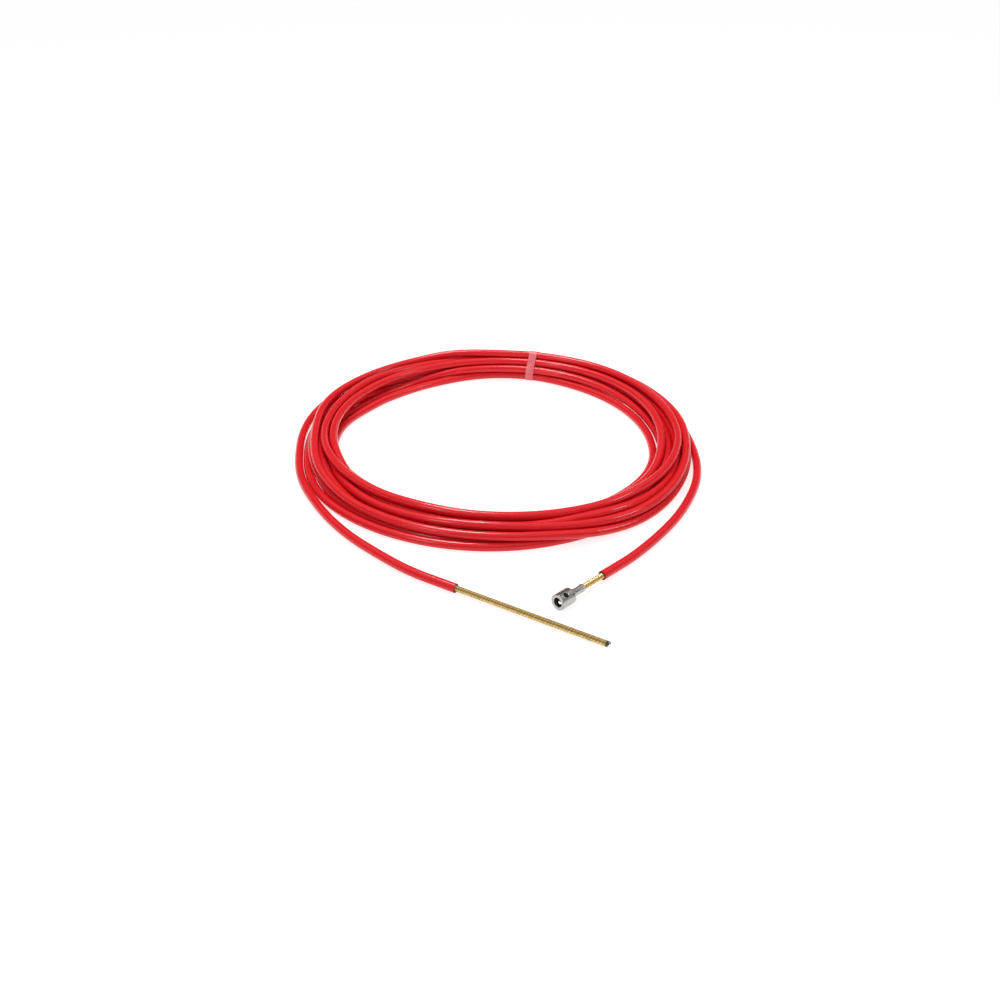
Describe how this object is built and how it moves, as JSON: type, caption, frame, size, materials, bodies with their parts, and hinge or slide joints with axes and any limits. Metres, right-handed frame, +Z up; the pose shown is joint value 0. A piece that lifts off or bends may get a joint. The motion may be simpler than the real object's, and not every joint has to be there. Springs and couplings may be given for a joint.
{
  "type": "flexible drain cleaning shaft",
  "caption": "Flexible steel drain cleaning shaft coiled in a red nylon sheath, with a steel drive coupler at one end and bare wound wire at the other.",
  "frame": {"origin": "on the floor, under the middle of the whole object's box: the coil, its two loose ends and the coupler", "axes": "+X to the object's right, +Y towards the back of the coil, away from the two loose ends, +Z up; the coil lies flat on z = 0"},
  "size_m": [0.4975, 0.6312, 0.0383],
  "materials": {
    "red_nylon": "satin extruded nylon tube, faintly worn along its length",
    "brass_coated_wire": "drawn wire with a thin brass-coloured coat, oiled",
    "dark_steel_wire": "bare cut steel wire, dull",
    "machined_steel": "turned steel with fine tool marks",
    "pink_strap": "thin translucent tape"
  },
  "bodies": {
    "sheath": {"sheath_coil": "red_nylon", "tie_strap": "pink_strap", "sheath_mouth_input": "red_nylon", "sheath_mouth_output": "red_nylon", "sheath_run_input": "red_nylon", "sheath_run_output": "red_nylon"},
    "input_core": {"input_core_wire": "dark_steel_wire"},
    "input_shaft": {"input_inner_winding": "brass_coated_wire", "input_middle_winding": "brass_coated_wire", "input_outer_winding": "brass_coated_wire", "drive_coupler": "machined_steel"},
    "output_core": {"output_core_wire": "dark_steel_wire"},
    "output_shaft": {"output_inner_winding": "brass_coated_wire", "output_middle_winding": "brass_coated_wire", "output_outer_winding": "brass_coated_wire"}
  },
  "joints": [
    {"name": "input_slide", "type": "slide", "parent": "sheath", "child": "input_core", "axis": [0.6953, 0.7175, -0.041], "range_m": [-0.006, 0.024]},
    {"name": "input_spin", "type": "hinge", "parent": "input_core", "child": "input_shaft", "pos_m": [0.1065, -0.2086, 0.0067], "axis": [0.6953, 0.7175, -0.041], "continuous": true},
    {"name": "output_slide", "type": "slide", "parent": "sheath", "child": "output_core", "axis": [0.8616, -0.5075, -0.01], "range_m": [-0.006, 0.024]},
    {"name": "output_spin", "type": "hinge", "parent": "output_core", "child": "output_shaft", "pos_m": [-0.0407, -0.2281, 0.0051], "axis": [0.8616, -0.5075, -0.01], "continuous": true}
  ],
  "couplings": [
    {"joint": "output_slide", "follows": "input_slide", "ratio": 1},
    {"joint": "output_spin", "follows": "input_spin", "ratio": 1}
  ]
}
